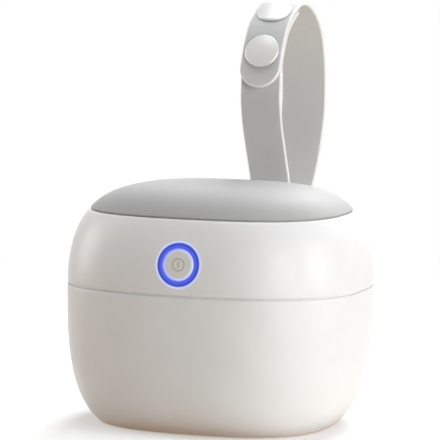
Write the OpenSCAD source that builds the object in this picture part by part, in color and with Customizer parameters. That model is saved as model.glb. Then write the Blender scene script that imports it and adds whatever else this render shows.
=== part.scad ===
// Pacifier sterilizer case: a rounded two-part case with a hinged lid, a lit
// power button, an ultraviolet lamp over a mirror bowl, and a carry strap with snaps.
// Millimetres, +Z up. The origin is on the table, under the middle of the case.
// The front, with the button, faces -Y; the hinge and the strap are at +Y.

/* [Case shape] */
// Width of the case at its widest
body_w = 90; // [84:1:96]
// Depth of the case at its widest, front to back
body_d = 80; // [75:1:86]
// Height of the base, from the underside of its shell to the seam
base_h = 41.75; // [41:0.25:44]
// Height of the lid, from the seam to the top of the cap
lid_h = 29.85; // [29:0.25:33]
// How far the foot pad lifts the shell off the table
foot_stand = 0.4; // [0.2:0.1:0.8]
// How far the widest section lies below the seam
widest_drop = 1.55; // [1.4:0.05:3]
// Height of the grey cap above the top edge of the lid band
cap_rise = 7.9; // [7:0.1:8.6]
// Squareness of the case seen from above: 2 is an ellipse, more is squarer
plan_power = 2.6; // [2.3:0.1:3]
// Width of the open line at the seam
seam_gap = 0.4; // [0.3:0.1:0.6]
// Width of the groove between the lid band and the cap
cap_groove = 0.4; // [0.3:0.1:0.6]

/* [Walls] */
// Thickness of the base and lid walls
wall_t = 2; // [1.6:0.2:2.4]
// Thickness of the base floor
floor_t = 3; // [2.8:0.2:3.6]
// Thickness of the soft grey cap
cap_t = 1.6; // [1.2:0.1:2]
// Thickness of the mirror bowl and the mirror cover
mirror_t = 1.2; // [1:0.1:1.5]
// Bevel on the seam and rim edges
edge_bevel = 0.4; // [0.2:0.1:0.6]

/* [Chamber] */
// Distance from the outer wall to the mouth of the bowl
bowl_inset = 10; // [9.6:0.2:12]
// Height of the bowl's floor above the shell's underside
bowl_floor_h = 8; // [7.6:0.2:11]
// How far the bowl draws in from its mouth to its floor
bowl_draw = 5; // [3:0.5:8]
// Distance from the outer wall to the mouth of the lid's mirror dome
dome_inset = 13; // [12.6:0.2:15]
// Rise of the mirror dome above its flange
dome_rise = 8; // [6:0.5:8.5]
// Thickness of the bowl's and the mirror cover's flanges
flange_t = 2; // [1.8:0.1:2.4]
// Width of the seal ring
seal_w = 1.2; // [1:0.1:1.4]

/* [Lamp] */
// Radius of the quartz window
window_r = 12; // [10:0.5:13]
// Thickness of the quartz window
window_t = 1; // [0.8:0.1:1.2]
// Length of the lamp board
lamp_board_l = 40; // [38:1:44]
// Width of the lamp board
lamp_board_w = 22; // [18:1:24]
// Spacing of the two lamp board screws
lamp_screw_span = 33.6; // [33:0.2:35]
// Side of each ultraviolet lamp package
lamp_side = 3.5; // [3:0.5:4]

/* [Button] */
// Height of the button's centre above the seam
button_rise = 9.25; // [9:0.25:10.25]
// Outer radius of the lit ring
ring_r = 6.55; // [6.2:0.05:6.8]
// Radius of the moving button
button_r = 4.55; // [4.2:0.05:4.8]
// Travel of the button
button_travel = 0.5; // [0.3:0.1:0.6]
// Gap round the button
button_gap = 0.3; // [0.3:0.05:0.4]

/* [Boards and battery] */
// Length of the battery
battery_l = 40; // [34:1:42]
// Width of the battery
battery_w = 30; // [26:1:32]
// Thickness of the battery
battery_t = 5.6; // [4:0.2:6]
// Thickness of the circuit boards
board_t = 1.2; // [1:0.1:1.6]
// Width of the main board behind the button
main_board_w = 32; // [30:1:34]
// Height of the main board behind the button
main_board_h = 11; // [10.5:0.5:11.5]
// How far the main board sits above the button's centre
main_board_rise = 1.2; // [1:0.1:1.4]
// Width of the charging socket's opening
socket_w = 8.9; // [8.6:0.1:9.2]
// Height of the charging socket's opening
socket_h = 3.2; // [3:0.1:3.4]

/* [Hinge] */
// Distance of the hinge pin behind the case wall
hinge_out = 3.2; // [3.2:0.1:4]
// Radius of the hinge pin
hinge_pin_r = 1; // [0.8:0.1:1.2]
// Radius of the hinge knuckles
knuckle_r = 2.8; // [2.6:0.05:2.85]
// Width of the lid's middle knuckle
lid_knuckle_w = 11.6; // [8:0.2:14]
// Width of each base knuckle
base_knuckle_w = 8; // [6:0.5:10]

/* [Strap] */
// Width of the strap
strap_w = 13; // [12:0.5:15]
// Thickness of the strap
strap_t = 2.1; // [1.8:0.1:2.4]
// Gap between the two layers where the strap is snapped
layer_gap = 0.25; // [0.2:0.05:0.5]
// Distance of the strap pin behind the case wall
strap_out = 7; // [7:0.2:8]
// Height of the strap pin above the seam
strap_up = 8.35; // [8.35:0.2:9.5]
// Radius of the strap pin
strap_pin_r = 1.75; // [1.5:0.05:1.9]
// Thickness of the two ears that hold the strap pin
ear_t = 3; // [2.5:0.25:4]
// Radius of the snap caps
snap_r = 5.5; // [5:0.1:5.8]

/* [Fasteners] */
// Radius of the screw shanks
screw_r = 1; // [0.8:0.05:1.1]
// Radius of the screw heads
screw_head_r = 1.9; // [1.7:0.05:2]
// Height of the screw heads
screw_head_h = 0.9; // [0.8:0.1:1]
// Radius of the holding magnets
magnet_r = 2; // [1.8:0.1:2.2]
// Height of the holding magnets
magnet_h = 1.5; // [1.2:0.1:1.6]

/* [Fits] */
// Radial clearance of a pin that turns
running_fit = 0.06; // [0.03:0.01:0.1]
// Clearance between pieces that are pressed or laid together
seat_fit = 0.05; // [0.02:0.01:0.1]
// Clearance between pieces that move past each other
moving_gap = 0.3; // [0.3:0.05:0.5]

/* [Hidden] */
$fn = 48;

// ---- the outer form -------------------------------------------------------
half_w = body_w / 2;
half_d = body_d / 2;
half_mean = (half_w + half_d) / 2;
seam_h = base_h;
body_h = base_h + lid_h;
widest_h = seam_h - widest_drop;
rim_h = body_h - cap_rise;            // top edge of the lid band
ring_n = 60;          // points round each section
base_cut = 0.9;       // how far the lower round runs before the flat bottom cuts it
base_bow = 2.7;       // roundness of the lower wall
base_edge = 5.7;      // tightness of the bottom corner
crown_bow = 2.35;     // roundness of the upper wall
crown_edge = 4.9;     // tightness of the shoulder
slope_step = 0.2;     // step that a slope is measured over

// Share of the full half width that the case has at a height above its underside
function fullness(h) = h < widest_h
  ? pow(1 - pow(base_cut * (widest_h - h) / widest_h, base_bow), 1 / base_edge)
  : pow(1 - pow((h - widest_h) / (body_h - widest_h), crown_bow), 1 / crown_edge);

// Height of the crown where the case has a given share of its half width
function crown_h(g) =
  widest_h + (body_h - widest_h) * pow(1 - pow(g, crown_edge), 1 / crown_bow);

// Distance from the centre to a rounded outline of half sizes a and b
function plan_r(angle, a, b) =
  pow(pow(abs(cos(angle)) / a, plan_power) + pow(abs(sin(angle)) / b, plan_power),
      -1 / plan_power);

// One level section, with half sizes a and b, at height z over the table
function section(a, b, z) = [for (i = [0:ring_n - 1])
  let (angle = 360 * i / ring_n, r = plan_r(angle, a, b))
    [r * cos(angle), r * sin(angle), z]];

function outline(a, b) = [for (p = section(a, b, 0)) [p.x, p.y]];

// Slope of the side wall: how much the half width grows for each millimetre up
function side_slope(h) =
  half_mean * (fullness(h + slope_step) - fullness(h - slope_step)) / (2 * slope_step);

// Section of the side wall at height h, set in by a depth along the wall's normal
function side_ring(h, depth) =
  let (s = side_slope(h), k = depth / sqrt(1 + s * s), g = fullness(h))
    section(half_w * g - k, half_d * g - k, foot_stand + h + k * s);

// Section of the crown where its share is g, set in by a depth along its normal
function crown_ring(g, depth) =
  let (s = (crown_h(g - slope_step / 10) - crown_h(g + slope_step / 10))
           / (slope_step / 5 * half_mean),
       k = depth / sqrt(1 + s * s))
    section(half_w * g - k * s, half_d * g - k * s, foot_stand + crown_h(g) - k);

// Section of the wall at height h, set straight in, at its own height
function flat_ring(h, inset) =
  section(half_w * fullness(h) - inset, half_d * fullness(h) - inset, foot_stand + h);

// A point on the plan, set in from the widest outline, at an angle
function inset_point(angle, inset) =
  let (r = plan_r(angle, half_w - inset, half_d - inset)) [r * cos(angle), r * sin(angle)];

// Solid skin through a list of sections, closed flat at its two ends
module ring_loft(rings) {
  n = len(rings[0]);
  m = len(rings);
  polyhedron(
    points = [for (r = rings) each r],
    faces = concat(
      [[for (i = [0:n - 1]) i]],
      [for (k = [0:m - 2], i = [0:n - 1])
        let (j = (i + 1) % n) each [
          [k * n + i, (k + 1) * n + i, (k + 1) * n + j],
          [k * n + i, (k + 1) * n + j, k * n + j]]],
      [[for (i = [n - 1:-1:0]) (m - 1) * n + i]]),
    convexity = 6);
}

// Rounded plate, drawn from the centre
module rounded_plate(l, w, t, r) {
  linear_extrude(height = t)
    union() {
      square([l - 2 * r, w], center = true);
      square([l, w - 2 * r], center = true);
      for (x = [-1, 1], y = [-1, 1]) translate([x * (l / 2 - r), y * (w / 2 - r)]) circle(r);
    }
}

// Pan-head screw: its head stands on z = 0 and its shank points to -Z
module screw(length) {
  cylinder(r = screw_head_r, h = screw_head_h);
  translate([0, 0, -length]) cylinder(r = screw_r - seat_fit, h = length + screw_head_h / 2);
}

// ---- levels and places ----------------------------------------------------
seam_z = foot_stand + seam_h;
base_top_h = seam_h - seam_gap / 2;
lid_bottom_h = seam_h + seam_gap / 2;
bowl_flange_top_h = base_top_h - seat_fit;          // bowl flange, just under the rim
ledge_inset = 1.4 + wall_t / 2;                     // rim lip left outside the ledge
ledge_h = bowl_flange_top_h - flange_t - seat_fit;
cover_ledge_h = lid_bottom_h + flange_t + seat_fit;
lid_wall_t = wall_t + 0.8;                          // lid wall above its ledge
bowl_mouth = [half_w - bowl_inset, half_d - bowl_inset];
bowl_floor = [bowl_mouth.x - bowl_draw, bowl_mouth.y - bowl_draw];
dome_mouth = [half_w - dome_inset, half_d - dome_inset];
dome_top = window_r + 7;                            // half size of the dome's flat top
dome_top_h = lid_bottom_h + dome_rise;              // underside of the dome's flat top
cover_top_h = dome_top_h + mirror_t;
seal_inset = bowl_inset - 2.1;
seal_groove = 1;
seal_out = moving_gap + 0.1;                        // how far the seal stands out
fastener_inset = wall_t + 3;                        // ring of lid screws and magnets
lid_screw_angles = [38, 142, 218, 322];
magnet_angles = [292, 248];
magnet_wall = 1.1;                                  // plastic left round each magnet
lid_boss_r = 2.3;
lid_boss_h = 9;
lid_screw_l = 7;
lid_boss_top_h = cover_ledge_h + lid_boss_h;
foot_recess = 1;
foot_pad_t = foot_stand + foot_recess;
foot_inset = 3.5;
foot_half = [half_w * fullness(0) - foot_inset, half_d * fullness(0) - foot_inset];
base_screw_at = [for (x = [-1, 1], y = [-1, 1]) [x * bowl_floor.x * 0.67, y * bowl_floor.y * 0.62]];
base_screw_sink = foot_recess + screw_head_h + 0.1; // depth of the head's seat
post_r = 2.6;
board_pitch = 13;                                   // half spacing of the board screws
board_post_r = 2.2;
board_screw_l = 4;
button_h = seam_h + button_rise;
wall_front = half_d * fullness(button_h);
button_tilt = atan(half_d * (fullness(button_h - 1) - fullness(button_h + 1)) / 2);
ring_depth = wall_t + 0.9;                          // straight part of the lit ring
ring_flange_r = ring_r + 1;
ring_flange_t = 1;
button_flange_r = button_r + button_gap + 0.6;
button_flange_at = ring_depth + moving_gap;
switch_face = button_flange_at + 3.4;               // depth of the switch's front
switch_t = 2.4;
board_at = switch_face + switch_t;                  // depth of the main board's front
plunger_r = 1.6;
button_sink = 0.15;                                 // button face behind the ring's face
icon_r = 1.9;
icon_line = 0.3;
icon_depth = 0.12;
led_z = foot_stand + cover_top_h + 2.2;             // underside of the lamp board
lamp_board_t = 1.6;
lamp_t = 1.1;
window_seat = [window_r - 1.2, cover_top_h - window_t - 0.3]; // hole radius, seat height
window_seal_w = 1.5;
window_seal_h = led_z - foot_stand - window_seat.y - window_t - 2 * seat_fit;
lamp_screw = [0.85, 2.2];                           // shank radius, bite in the post
lamp_screw_head = [1.7, 1];                         // radius, height
crown_under_h = body_h - cap_t - seat_fit - wall_t; // underside of the lid's roof
battery_pad_t = 0.8;
battery_top_z = foot_stand + crown_under_h - 0.9 - battery_pad_t;
charge_z = foot_stand + button_h - socket_h / 2 - board_t;
socket_l = 7.4;
charge_post_r = 1.9;                                // posts under the charging board
socket_face_x = -half_w * fullness(button_h) + 0.5;
charge_screw_x = half_w - dome_inset + mirror_t + charge_post_r + 0.3;
charge_screw_y = socket_w / 2 + screw_head_r + 0.3;
hinge_y = half_d + hinge_out;
pin_y = half_d + strap_out;
pin_z = seam_z + strap_up;
base_knuckle_x = lid_knuckle_w / 2 + moving_gap;
hinge_l = 2 * (base_knuckle_x + base_knuckle_w);
web_h = 8;
ear_r = strap_pin_r + 1.65;
ear_x = strap_w / 2 + 0.5;
strap_bore_r = strap_pin_r + running_fit;

// ---- strap route ----------------------------------------------------------
// Points of the strap's middle line, as [back, up] from the strap pin. The rear
// leg runs from the pin over the top and down to the free end.
rear_route = [
  [8.5, 2.3], [16, 7.7], [23, 13.6], [28.8, 21], [33.6, 29.9], [36.4, 37.9],
  [37, 46.4], [35.6, 56.4], [31.6, 64.9], [24.5, 70.7], [16.5, 73.8], [10.6, 73.9]
];
// The outer layer, from the top to the centre of the round free end
outer_route = [[5.6, 72.6], [1.3, 70.8], [-4.1, 67.4], [-8, 62.9], [-10, 59.4], [-12.1, 54.8]];
upper_snap = 1;       // place of the upper snap in outer_route
lower_snap = 4;       // place of the lower snap in outer_route
// The front leg, from under the free end down to the pin
front_route = [
  [-11.3, 49.5], [-11.5, 45.5], [-10.6, 40.8], [-8.9, 35.7], [-6.3, 30.5],
  [-3.6, 25.1], [-0.9, 19.6], [0.2, 14.4], [0, 8.9], [-1.7, 4.2]
];
route_steps = 3;      // straight pieces between two points of the route
wrap_r = strap_bore_r + strap_t / 2;
wrap_angles = [182, 210, 240, 270, 300];
layer_pitch = strap_t + layer_gap;

function unit(v) = v / norm(v);
function left_of(v) = [-v.y, v.x];
function heading(p, i) = unit(p[min(i + 1, len(p) - 1)] - p[max(i - 1, 0)]);
function side_step(p, i, d) = p[i] + d * left_of(heading(p, i));

// Direction of a smooth curve where it passes the point i, weighted to the nearer side
function tangent(p, i) = i == 0 ? unit(p[1] - p[0]) : i == len(p) - 1 ? unit(p[i] - p[i - 1])
  : let (before = p[i] - p[i - 1], after = p[i + 1] - p[i])
      unit(before * norm(after) / norm(before) + after * norm(before) / norm(after));
function between(a, ta, b, tb, t) =
  (1 + 2 * t) * pow(1 - t, 2) * a + t * pow(1 - t, 2) * norm(b - a) * ta
  + t * t * (3 - 2 * t) * b - t * t * (1 - t) * norm(b - a) * tb;
function smooth(p, steps) = concat(
  [for (i = [0:len(p) - 2], k = [0:steps - 1])
    between(p[i], tangent(p, i), p[i + 1], tangent(p, i + 1), k / steps)],
  [p[len(p) - 1]]);

over_route = concat([rear_route[len(rear_route) - 1]], outer_route);
inner_route = [for (i = [1:len(over_route) - 1]) side_step(over_route, i, layer_pitch)];
wrap_route = [for (a = wrap_angles) [wrap_r * cos(a), wrap_r * sin(a)]];
strap_route = smooth(concat(inner_route, front_route, wrap_route, rear_route, outer_route),
                     route_steps);
free_end = strap_route[len(strap_route) - 1];
free_heading = heading(strap_route, len(strap_route) - 1);
snap_places = [for (i = [upper_snap + 1, lower_snap + 1])
  [over_route[i], left_of(heading(over_route, i))]];

// Turns a [back, up] place and its inward direction into a place on the strap,
// with +Z pointing in through both layers
module at_strap(place, inward) {
  translate([0, pin_y + place.x, pin_z + place.y])
    rotate([atan2(inward.y, inward.x) - 90, 0, 0]) children();
}

// ---- placing helpers ------------------------------------------------------
// Local frame of the button: +Z runs in through the wall, +Y points down
module at_button(depth = 0) {
  translate([0, -wall_front, foot_stand + button_h])
    rotate([-90 - button_tilt, 0, 0]) translate([0, 0, depth]) children();
}

// Bar along X with a profile drawn in [Y, Z]
module along_x(width) {
  rotate([90, 0, 90]) linear_extrude(height = width, center = true) children();
}

// Knuckle and its web, in [Y, Z]; up is 1 on the lid and -1 on the base
module knuckle_profile(up) {
  edge = seam_gap / 2;
  translate([hinge_y, seam_z]) circle(knuckle_r);
  polygon([
    [half_d - wall_t / 2, seam_z + up * edge],
    [hinge_y - knuckle_r / 2, seam_z + up * edge],
    [hinge_y + knuckle_r * cos(40), seam_z + up * knuckle_r * sin(40)],
    [half_d - wall_t / 2, seam_z + up * web_h]]);
}

module knuckle_bar(up, middle, width) {
  translate([middle, 0, 0]) along_x(width) knuckle_profile(up);
}

module hinge_bore(r) {
  translate([-body_w / 2, hinge_y, seam_z]) rotate([0, 90, 0]) cylinder(r = r, h = body_w);
}

// ---- base -----------------------------------------------------------------
module base_skin() {
  low_h = 1.8;
  ring_loft(concat(
    [for (i = [0:11]) side_ring(widest_h * pow(i / 11, 1.5), 0)],
    [flat_ring(base_top_h - edge_bevel, 0),
     flat_ring(base_top_h, edge_bevel),
     flat_ring(base_top_h, ledge_inset),
     flat_ring(ledge_h, ledge_inset),
     flat_ring(ledge_h, ledge_inset + 0.9)],
    [for (i = [9:-1:0]) side_ring(low_h + (ledge_h - 2 - low_h) * pow(i / 9, 1.5), wall_t)],
    [section(half_w * fullness(low_h) - wall_t - 2.5, half_d * fullness(low_h) - wall_t - 2.5,
             foot_stand + floor_t)]));
}

module base_shell() {
  magnet_seat_z = foot_stand + ledge_h;
  color("white")
    difference() {
      union() {
        base_skin();
        for (side = [-1, 1])
          knuckle_bar(-1, side * (base_knuckle_x + base_knuckle_w / 2), base_knuckle_w);
        for (a = magnet_angles)
          let (p = inset_point(a, fastener_inset))
            translate([p.x, p.y, magnet_seat_z - magnet_h - 2])
              cylinder(r = magnet_r + magnet_wall, h = magnet_h + 2);
      }
      translate([0, 0, -foot_stand]) linear_extrude(height = 2 * foot_stand + foot_recess)
        polygon(outline(foot_half.x + seat_fit, foot_half.y + seat_fit));
      for (p = base_screw_at) {
        translate([p.x, p.y, 0]) cylinder(r = screw_r + 0.1, h = foot_stand + floor_t + 1);
        translate([p.x, p.y, 0]) cylinder(r = screw_head_r + 0.1, h = foot_stand + base_screw_sink);
      }
      for (a = magnet_angles)
        let (p = inset_point(a, fastener_inset))
          translate([p.x, p.y, magnet_seat_z - magnet_h - seat_fit])
            cylinder(r = magnet_r + seat_fit, h = magnet_h + 1);
      hinge_bore(hinge_pin_r + 0.02);
    }
}

// Bowl wall from the mouth to the floor, grown outward by a thickness
function bowl_rings(grow) = [for (i = [0:8])
  let (a = 90 * i / 8,
       reach = bowl_draw * cos(a),
       z = foot_stand + bowl_floor_h - grow
           + (bowl_flange_top_h - bowl_floor_h) * (1 - sin(a)))
    section(bowl_floor.x + reach + grow, bowl_floor.y + reach + grow,
            i == 0 && grow > 0 ? foot_stand + bowl_flange_top_h - flange_t : z)];

module base_liner() {
  inner = bowl_rings(0);
  outer = bowl_rings(mirror_t);
  color("silver")
    difference() {
      union() {
        ring_loft(concat(
          [for (i = [8:-1:0]) outer[i]],
          [flat_ring(bowl_flange_top_h - flange_t, ledge_inset + seat_fit),
           flat_ring(bowl_flange_top_h, ledge_inset + seat_fit)],
          inner));
        for (p = base_screw_at)
          translate([p.x, p.y, foot_stand + floor_t + seat_fit])
            cylinder(r = post_r, h = bowl_floor_h - floor_t - mirror_t / 2);
      }
      for (p = base_screw_at)
        translate([p.x, p.y, 0]) cylinder(r = screw_r, h = foot_stand + bowl_floor_h - mirror_t);
    }
}

module foot_pad() {
  color("gray")
    linear_extrude(height = foot_pad_t - seat_fit) polygon(outline(foot_half.x, foot_half.y));
}

module base_screws() {
  color("lightgray")
    for (p = base_screw_at)
      translate([p.x, p.y, foot_stand + base_screw_sink])
        mirror([0, 0, 1]) screw(bowl_floor_h - mirror_t - base_screw_sink - 0.3);
}

module base_magnets() {
  color("dimgray")
    for (a = magnet_angles)
      let (p = inset_point(a, fastener_inset))
        translate([p.x, p.y, foot_stand + ledge_h - magnet_h - seat_fit / 2])
          cylinder(r = magnet_r, h = magnet_h);
}

// ---- lid ------------------------------------------------------------------
cap_seat = cap_t + seat_fit;                 // depth of the roof under the cap
roof_depth = cap_seat + wall_t;
rim_share = fullness(rim_h + cap_groove);

module lid_skin() {
  inner_low = cover_ledge_h;
  inner_high = rim_h - 3;
  ring_loft(concat(
    [for (i = [0:7]) crown_ring(rim_share * (0.12 + 0.86 * i / 7), roof_depth)],
    [for (i = [5:-1:0]) flat_ring(inner_low + (inner_high - inner_low) * i / 5, lid_wall_t)],
    [flat_ring(cover_ledge_h, wall_t),
     flat_ring(lid_bottom_h, wall_t),
     flat_ring(lid_bottom_h, edge_bevel)],
    [for (i = [0:8])
      flat_ring(lid_bottom_h + edge_bevel
                + (rim_h - lid_bottom_h - edge_bevel * 1.5) * pow(i / 8, 0.8), 0)],
    [flat_ring(rim_h, edge_bevel / 2), flat_ring(rim_h, cap_seat)],
    [for (i = [7:-1:0]) crown_ring(rim_share * (0.12 + 0.86 * i / 7), cap_seat)]));
}

// Ear that carries one end of the strap pin, in [Y, Z]
module ear_profile() {
  root_y = half_d - wall_t;
  translate([pin_y, pin_z]) circle(ear_r);
  polygon([
    [root_y, pin_z - ear_r - 0.4],
    [pin_y - 0.5, pin_z - ear_r + 0.05],
    [pin_y + ear_r * cos(35), pin_z + ear_r * sin(35)],
    [pin_y - ear_r * 0.2, pin_z + ear_r * 0.97],
    [root_y, pin_z + ear_r + 3]]);
}

module lid_shell() {
  color("white")
    difference() {
      union() {
        lid_skin();
        knuckle_bar(1, 0, lid_knuckle_w);
        for (side = [-1, 1])
          translate([side * (ear_x + ear_t / 2), 0, 0]) along_x(ear_t) ear_profile();
        for (a = lid_screw_angles)
          let (p = inset_point(a, fastener_inset))
            translate([p.x, p.y, foot_stand + cover_ledge_h])
              cylinder(r = lid_boss_r, h = lid_boss_top_h - cover_ledge_h);
        for (side = [-1, 1])
          at_button(wall_t - 0.2) translate([side * board_pitch, 0, 0])
            cylinder(r = board_post_r, h = board_at - wall_t + 0.2);
        translate([0, 0, battery_top_z + battery_pad_t])
          rounded_plate(battery_l - 4, battery_w - 4, 2, 3);
      }
      at_button(-5) cylinder(r = ring_r + seat_fit, h = 5 + wall_t + 2.5);
      at_button(ring_depth - seat_fit) cylinder(r = ring_flange_r + seat_fit, h = 3);
      at_button(board_at - board_screw_l)
        for (side = [-1, 1]) translate([side * board_pitch, 0, 0])
          cylinder(r = screw_r, h = board_screw_l + 1);
      for (a = lid_screw_angles)
        let (p = inset_point(a, fastener_inset))
          translate([p.x, p.y, foot_stand + cover_ledge_h - 1])
            cylinder(r = screw_r, h = lid_screw_l + 1);
      translate([socket_face_x - 3, 0, charge_z + board_t + socket_h / 2])
        rotate([0, 90, 0]) rounded_plate(socket_h + 0.3, socket_w + 0.3, lid_wall_t + 6, 1.5);
      hinge_bore(hinge_pin_r + running_fit);
      translate([-body_w / 2, pin_y, pin_z]) rotate([0, 90, 0])
        cylinder(r = strap_pin_r + 0.02, h = body_w);
    }
}

module lid_cap() {
  color("darkgray")
    ring_loft(concat(
      [for (i = [0:7]) crown_ring(rim_share * (0.12 + 0.86 * i / 7), cap_t)],
      [flat_ring(rim_h + cap_groove, cap_t),
       flat_ring(rim_h + cap_groove, edge_bevel)],
      [for (i = [0:9])
        crown_ring(fullness(rim_h + cap_groove + edge_bevel) * cos(84 * i / 9), 0)]));
}

// Mirror dome from its mouth to its flat top, grown outward by a thickness
function dome_rings(grow) = [for (i = [0:6])
  let (a = 90 * i / 6)
    section(dome_top + (dome_mouth.x - dome_top) * cos(a) + grow,
            dome_top + (dome_mouth.y - dome_top) * cos(a) + grow,
            foot_stand + lid_bottom_h + grow * (i == 0 ? flange_t / mirror_t : 1)
            + dome_rise * sin(a))];

module lid_reflector() {
  under = dome_rings(0);
  over = dome_rings(mirror_t);
  flange_z = foot_stand + lid_bottom_h;
  post_z = foot_stand + cover_top_h;
  color("silver")
    difference() {
      union() {
        ring_loft(concat(
          [for (i = [6:-1:0]) under[i]],
          [flat_ring(lid_bottom_h, wall_t + seat_fit),
           flat_ring(lid_bottom_h + flange_t, wall_t + seat_fit)],
          over));
        for (side = [-1, 1]) {
          translate([side * lamp_screw_span / 2, 0, post_z - mirror_t / 2])
            cylinder(r = 1.9, h = led_z - post_z + mirror_t / 2);
          translate([-charge_screw_x, side * charge_screw_y, flange_z + flange_t / 2])
            cylinder(r = charge_post_r, h = charge_z - flange_z - flange_t / 2);
        }
      }
      at_button(0) cylinder(r = ring_flange_r + moving_gap,
                            h = ring_depth + ring_flange_t + moving_gap);
      translate([0, 0, foot_stand + dome_top_h - 1]) cylinder(r = window_seat.x, h = 10);
      translate([0, 0, foot_stand + window_seat.y]) cylinder(r = window_r + seat_fit, h = 5);
      for (side = [-1, 1]) {
        translate([side * lamp_screw_span / 2, 0, led_z - lamp_screw.y - 0.2])
          cylinder(r = lamp_screw.x + seat_fit, h = 3);
        translate([-charge_screw_x, side * charge_screw_y, charge_z - board_screw_l])
          cylinder(r = screw_r, h = board_screw_l + 1);
      }
      for (a = lid_screw_angles)
        let (p = inset_point(a, fastener_inset)) {
          translate([p.x, p.y, flange_z - 1]) cylinder(r = screw_r + 0.1, h = flange_t + 2);
          translate([p.x, p.y, flange_z - 1]) cylinder(r = screw_head_r + 0.1, h = 1 + screw_head_h);
        }
      for (a = magnet_angles)
        let (p = inset_point(a, fastener_inset))
          translate([p.x, p.y, flange_z + flange_t - magnet_h])
            cylinder(r = magnet_r + seat_fit, h = magnet_h + 1);
      translate([0, 0, flange_z - 1]) linear_extrude(height = 1 + seal_groove)
        difference() {
          polygon(outline(half_w - seal_inset + seat_fit, half_d - seal_inset + seat_fit));
          polygon(outline(half_w - seal_inset - seal_w - seat_fit,
                          half_d - seal_inset - seal_w - seat_fit));
        }
    }
}

module seal_ring() {
  color("gainsboro")
    translate([0, 0, foot_stand + lid_bottom_h - seal_out])
      linear_extrude(height = seal_out + seal_groove - seat_fit)
        difference() {
          polygon(outline(half_w - seal_inset, half_d - seal_inset));
          polygon(outline(half_w - seal_inset - seal_w, half_d - seal_inset - seal_w));
        }
}

module lid_screws() {
  color("lightgray")
    for (a = lid_screw_angles)
      let (p = inset_point(a, fastener_inset))
        translate([p.x, p.y, foot_stand + lid_bottom_h + screw_head_h])
          mirror([0, 0, 1]) screw(lid_screw_l);
}

module lid_magnets() {
  color("dimgray")
    for (a = magnet_angles)
      let (p = inset_point(a, fastener_inset))
        translate([p.x, p.y, foot_stand + lid_bottom_h + flange_t - magnet_h + seat_fit / 2])
          cylinder(r = magnet_r, h = magnet_h - seat_fit);
}

// ---- lamp -----------------------------------------------------------------
module uv_window() {
  color("lightblue")
    translate([0, 0, foot_stand + window_seat.y + seat_fit / 2])
      cylinder(r = window_r, h = window_t);
}

module window_seal() {
  color("gainsboro")
    translate([0, 0, foot_stand + window_seat.y + seat_fit + window_t])
      difference() {
        cylinder(r = window_r, h = window_seal_h);
        translate([0, 0, -1]) cylinder(r = window_r - window_seal_w, h = window_seal_h + 2);
      }
}

module lamp_board() {
  color("white")
    translate([0, 0, led_z])
      difference() {
        rounded_plate(lamp_board_l, lamp_board_w, lamp_board_t, 3);
        for (side = [-1, 1])
          translate([side * lamp_screw_span / 2, 0, -1])
            cylinder(r = lamp_screw.x + 0.15, h = lamp_board_t + 2);
      }
}

module uv_lamps() {
  lamp_pitch = (window_r - window_seal_w) / sqrt(2) - lamp_side / 2 - moving_gap;
  color("khaki")
    for (x = [-1, 1], y = [-1, 1])
      translate([x * lamp_pitch, y * lamp_pitch, led_z - lamp_t])
        rounded_plate(lamp_side, lamp_side, lamp_t, 0.4);
}

module lamp_screws() {
  color("lightgray")
    for (side = [-1, 1])
      translate([side * lamp_screw_span / 2, 0, led_z + lamp_board_t]) {
        cylinder(r = lamp_screw_head.x, h = lamp_screw_head.y);
        translate([0, 0, -lamp_board_t - lamp_screw.y])
          cylinder(r = lamp_screw.x, h = lamp_board_t + lamp_screw.y + 0.2);
      }
}

// ---- button and electronics -------------------------------------------------
module main_board() {
  color("darkgreen")
    at_button(board_at)
      difference() {
        translate([0, -main_board_rise, 0])
          rounded_plate(main_board_w, main_board_h, board_t, 1);
        for (side = [-1, 1])
          translate([side * board_pitch, 0, -1]) cylinder(r = screw_r + 0.1, h = board_t + 2);
      }
}

module ring_leds() {
  color("royalblue")
    at_button(board_at - 0.8)
      for (a = [45:90:315]) rotate([0, 0, a]) translate([ring_r, 0, 0])
        rounded_plate(1.6, 1.6, 0.8, 0.2);
}

module lid_sensor() {
  color("black")
    at_button(board_at - 1)
      translate([board_pitch / 2 + 2.5, main_board_h / 2 - main_board_rise - 1.6, 0])
      rounded_plate(1.4, 2.6, 1, 0.2);
}

module tact_switch() {
  color("black")
    at_button(switch_face)
      difference() {
        rounded_plate(6, 6, switch_t, 0.6);
        translate([0, 0, -1]) cylinder(r = plunger_r + running_fit, h = 1 + switch_t - 0.4);
      }
}

module switch_plunger() {
  color("black")
    at_button(switch_face - 1) cylinder(r = plunger_r, h = 1 + switch_t - 0.4 - button_travel - 0.3);
}

// Block whose front follows the wall round the button, set in by a depth
module wall_front_block(depth) {
  half_h = ring_r + 2;
  back_y = -wall_front + 2 * ring_depth + switch_face;
  mid = 3 * ring_n / 4;
  ring_loft([for (i = [-4:4])
    let (r = side_ring(button_h + half_h * i / 4, depth))
      concat([for (j = [mid - 2:mid + 2]) r[j]],
             [[r[mid + 2].x, back_y, r[mid].z], [r[mid - 2].x, back_y, r[mid].z]])]);
}

module light_ring() {
  inner_r = button_r + button_gap;
  color("mediumblue")
    intersection() {
      at_button()
        rotate_extrude()
          polygon([
            [inner_r, -1], [ring_r, -1], [ring_r, ring_depth], [ring_flange_r, ring_depth],
            [ring_flange_r, ring_depth + ring_flange_t],
            [button_flange_r + moving_gap, ring_depth + ring_flange_t],
            [button_flange_r + moving_gap, ring_depth], [inner_r, ring_depth]]);
      wall_front_block(0);
    }
}

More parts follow.
